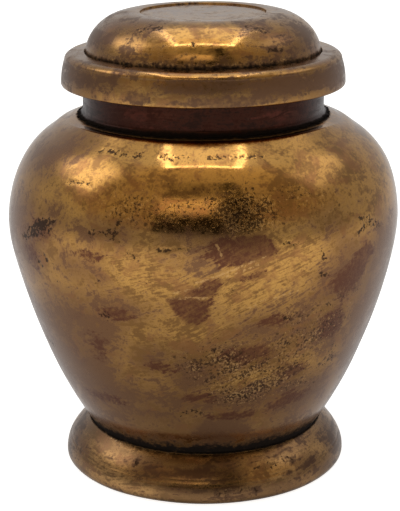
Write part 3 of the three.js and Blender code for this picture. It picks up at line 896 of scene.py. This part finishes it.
# the outline from the ceiling's middle down the inside, and on from the skirt up to the top's middle
def lidOutlines():
    v = lidValues
    wall, crease, flat, foot = v["wall"], v["crease"], v["domeFlat"], v["domeFoot"]
    dome, domeTop = v["domeRadius"], foot + v["domeRise"]
    creaseHeight, rimTop = v["rimSide"] + v["rimCrown"], v["rimRadius"] - v["rimTaper"]
    rimRun, rimBend = rimTop - v["rimRound"][0], v["rimCorner"]
    part = np.linspace(0, 1, 22)
    side = np.stack([v["rimRadius"] - v["rimTaper"] * part ** 2,
                     rimBend + (v["rimSide"] - rimBend) * part], axis=1)
    domeStart = math.degrees(math.asin((creaseHeight + crease - foot) / v["domeRise"]))
    recess, corner, sunk = v["recessRadius"], v["recessCorner"], domeTop - v["recessDepth"]
    ceiling = sunk - wall
    innerRise = v["domeRise"] - wall
    innerStart = math.degrees(math.asin((ceiling - foot) / innerRise))
    hollowTop, hollow, skirt = v["rimSide"] - 1, v["rimHollow"], v["skirtRadius"]
    outer = joinRuns(
        linePoints((skirt, -v["skirtDepth"]), (skirt, 0), 6),
        linePoints((skirt, 0), (v["rimRadius"] - rimBend, 0), 6),
        arcPoints(v["rimRadius"] - rimBend, rimBend, rimBend, rimBend, -80, 0, 7),
        side,
        arcPoints(rimRun, v["rimSide"], *v["rimRound"], 3, 90, 26),
        linePoints((rimRun - 0.3, creaseHeight - 0.29), (dome + 0.6, creaseHeight), 9),
        linePoints((dome + 0.3, creaseHeight - 0.04), (dome + 0.1, creaseHeight - 0.2), 2),
        [(dome - crease / 2, creaseHeight - crease)],
        arcPoints(flat, foot, dome - flat, v["domeRise"], domeStart, 90, 78),
        arcPoints(recess + corner, domeTop - corner, corner, corner, 90, 180, 6),
        arcPoints(recess - 0.3, sunk + 0.25, 0.25, -0.25, 0, 90, 4),
        linePoints((recess - 0.6, sunk), (0, sunk), 16))
    inner = joinRuns(
        linePoints((0, ceiling), (flat, ceiling), 5),
        arcPoints(flat, foot, dome - flat - wall, innerRise, innerStart, 0, 9),
        linePoints((hollow - wall, hollowTop), (hollow, hollowTop - wall), 3),
        linePoints((hollow, 2 * wall), (hollow - wall, wall), 3),
        linePoints((skirt - v["skirtWall"], wall), (skirt - v["skirtWall"], -v["skirtDepth"]), 5))
    return inner + [0, v["seat"]], outer + [0, v["seat"]]


# the lid: its outline turned round, each point of the outside moved out by waves
def makeLid():
    v = lidValues
    inner, outer = lidOutlines()
    turned = Turned(np.concatenate([inner, outer]), columnAngles(80, 320, 140), ring=False)
    z, r = turned.height, turned.radius
    outside = np.arange(len(z))[:, None] >= len(inner)
    marksFrom, marksOver = v["marksFrom"]
    shown = outside & (z > v["seat"] + 0.6) & (r > marksFrom)
    turned.raiseBy(np.where(shown, turned.waves(v["waves"]), 0.0))

    fade = np.clip((r - marksFrom) / marksOver, 0, 1)
    brownAt, shadeOver, shadeMost = v["sideBrown"]
    sideBrown = shadeMost * bell(z, brownAt, shadeOver) * (r > 64)
    (creaseWidth, creaseMost), (recessWidth, recessMost) = v["creaseSeam"], v["recessSeam"]
    seam = creaseMost * bell(r, v["domeRadius"], creaseWidth) * (z > 200)
    seam = seam + recessMost * bell(r, v["recessRadius"] - 0.2, recessWidth) * (z > 222.6)
    turned.layers = {
        "redPatchAndReflection": spotLayer(turned, lidDullAndReflectionSpots),
        "brownPatchAndShade": patchLayer(turned, lidBrown.values(), reach=9.0) * fade + sideBrown,
        "darkMark": patchLayer(turned, strokes=lidStrokes.values()) * fade,
        "pitField": spotLayer(turned, lidPitSpots) * fade,
        "cleanGoldAndHighlight": spotLayer(turned, lidCleanAndHighlightSpots) * fade,
        "rubField": np.full(z.shape, 0.6),
        # inside, the lid is painted dark as shade
        "darkJointAndShade": np.clip(np.where(outside, seam, 0.7), 0, 1),
    }
    piece = turned.build("urnLid")
    finishPiece(piece, bronzeFinish("lidBronze", lidFinish), "lid")


# Floor, light and camera

studio = {
    "tent": 0.44, "rear": 0.50, "floorNear": 0.35, "floorFar": 0.86, "floorRear": 0.60,
    # windows of the tent: (from, to, soft edge) round and up in degrees, and how bright
    "leftBox": ((-122, -80, 9), (29, 53, 7), 1.9), "rightBox": ((80, 124, 9), (33, 53, 7), 1.1),
    "opening": ((-30, 31, 1.0), (11, 61, 1.5), 0.035), "patch": ((-40, 10, 2.5), (29, 43, 3), 1.2),
    "openingTop": 0.26, "glow": 0.24, "warm": (1.0, 0.84, 0.56), "floorColour": 0.80, "floorGlow": 0.85,
}


# a pale square that the camera sees and the bronze doesn't mirror
def makeFloor():
    mesh = bpy.data.meshes.new("studioFloor")
    mesh.from_pydata([(-6, -6, 0), (6, -6, 0), (6, 6, 0), (-6, 6, 0)], [], [(0, 1, 2, 3)])
    floor = bpy.data.objects.new("studioFloor", mesh)
    bpy.context.scene.collection.objects.link(floor)
    material = bpy.data.materials.new("paleFloor")
    material.use_nodes = True
    material.node_tree.nodes.clear()
    start = Signal(material.node_tree)
    pale = studio["floorColour"]
    shader = start.make("ShaderNodeBsdfPrincipled", None, {
        "Base Color": (pale, pale, pale, 1), "Roughness": 0.9, "Emission Color": (1, 1, 1, 1),
        "Emission Strength": studio["floorGlow"]})
    start.make("ShaderNodeOutputMaterial", None, {"Surface": shader})
    mesh.materials.append(material)
    floor.visible_glossy = floor.visible_diffuse = False


# a light tent: pale walls, softboxes to both sides, a dark opening in front; a direction is told by
# its angle round, 0 in front and more to the right, and by its angle up, in degrees
def makeTent():
    world = bpy.data.worlds.new("lightTent")
    bpy.context.scene.world = world
    world.use_nodes = True
    world.node_tree.nodes.clear()
    start = Signal(world.node_tree)
    way = start.make("ShaderNodeTexCoord", output="Generated")
    x, y, z = (start.make("ShaderNodeSeparateXYZ", None, {0: way}, i) for i in range(3))
    around = start.math("ARCTAN2", x, y * -1.0) * math.degrees(1)
    side = start.math("ABSOLUTE", around)
    up = start.math("ARCSINE", z) * math.degrees(1)
    s = studio
    level = s["tent"] + side.ease(105, 150) * (s["rear"] - s["tent"])
    far = s["floorFar"] + side.ease(60, 130) * (s["floorRear"] - s["floorFar"])
    floor = s["floorNear"] + up.ease(-75, -14) * (far - s["floorNear"])
    level = level + up.ease(2, -10) * (floor - level)

    # 1 in a window of the tent, and how bright it is there
    def window(name):
        across, upward, bright = s[name]
        return around.between(*across) * up.between(*upward), bright

    (left, leftBright), (right, rightBright) = window("leftBox"), window("rightBox")
    level = level + left * (leftBright - level)
    level = level + right * (rightBright - level)

    (opening, dark), (patch, patchBright) = window("opening"), window("patch")
    high = up.ease(38, 46) * around.ease(22, 8)
    shade = dark + patch * (patchBright - dark) + high * s["openingTop"]
    level = level + opening * (shade - level)

    # the cloth glows a little round the panel above
    over = z.atLeast(0.02)
    glow = (x / over).between(-0.6, 0.65, 0.35) * (y / over).between(-0.25, 0.95, 0.35)
    glow = glow * z.ease(0.3, 0.6)
    level = level + glow * s["glow"] * (1.0 - opening)

    # the cloth between the boxes is warm; the boxes, the rear and the floor are neutral
    warm = side.ease(110, 55) * up.ease(6, 24) * (1.0 - left) * (1.0 - right)
    seen = start.make("ShaderNodeLightPath", output="Is Camera Ray")
    level = level + seen * (1.0 - level)
    colour = tint(warm * (1.0 - seen), (1, 1, 1), s["warm"])
    sky = start.make("ShaderNodeBackground", None, {"Color": colour, "Strength": level})
    start.make("ShaderNodeOutputWorld", None, {"Surface": sky})


# flat lamps just above the lid, shining down: (left, right, front, rear) in mm, and how bright
lamps = {
    "panel": (-66, 66, -95, 52, 0.50), "stripLeft": (-66, -53, -95, 52, 2.0),
    "stripRight": (53, 66, -95, 52, 1.8), "stripFront": (-66, 66, -96, -86, 2.8),
}
lampHeight = 345
lampStep = 0.5  # each lamp hangs so much lower than the one before


def makeLamps():
    for step, (name, (left, right, front, rear, bright)) in enumerate(lamps.items()):
        data = bpy.data.lights.new(name, "AREA")
        data.shape, data.size, data.size_y = "RECTANGLE", (right - left) * 0.001, (rear - front) * 0.001
        data.energy = bright * math.pi * data.size * data.size_y
        lamp = bpy.data.objects.new(name, data)
        middle = (left + right) / 2, (front + rear) / 2, lampHeight - step * lampStep
        lamp.location = [0.001 * c for c in middle]
        lamp.visible_camera = False
        bpy.context.scene.collection.objects.link(lamp)


# lens and sensor in mm, degrees down, roll in radians and place in metres
camera = {"lens": 115.19, "sensor": 36.0, "down": 16.43, "roll": -0.0047,
          "place": (-0.00197, -0.780, 0.33332)}


def makeCamera():
    data = bpy.data.cameras.new("photoCamera")
    body = bpy.data.objects.new("photoCamera", data)
    bpy.context.scene.collection.objects.link(body)
    data.sensor_width, data.lens, data.clip_end = camera["sensor"], camera["lens"], 50.0
    turn = Euler((math.radians(90 - camera["down"]), 0, 0)).to_matrix().to_4x4()
    turn = turn @ Matrix.Rotation(camera["roll"], 4, "Z")
    body.matrix_world = Matrix.Translation(camera["place"]) @ turn
    bpy.context.scene.camera = body
    bpy.context.scene.view_settings.view_transform = "Standard"


makeVessel()
makeFoot()
makeNeck()
makeLid()
makeFloor()
makeTent()
makeLamps()
makeCamera()
print("studio set up")
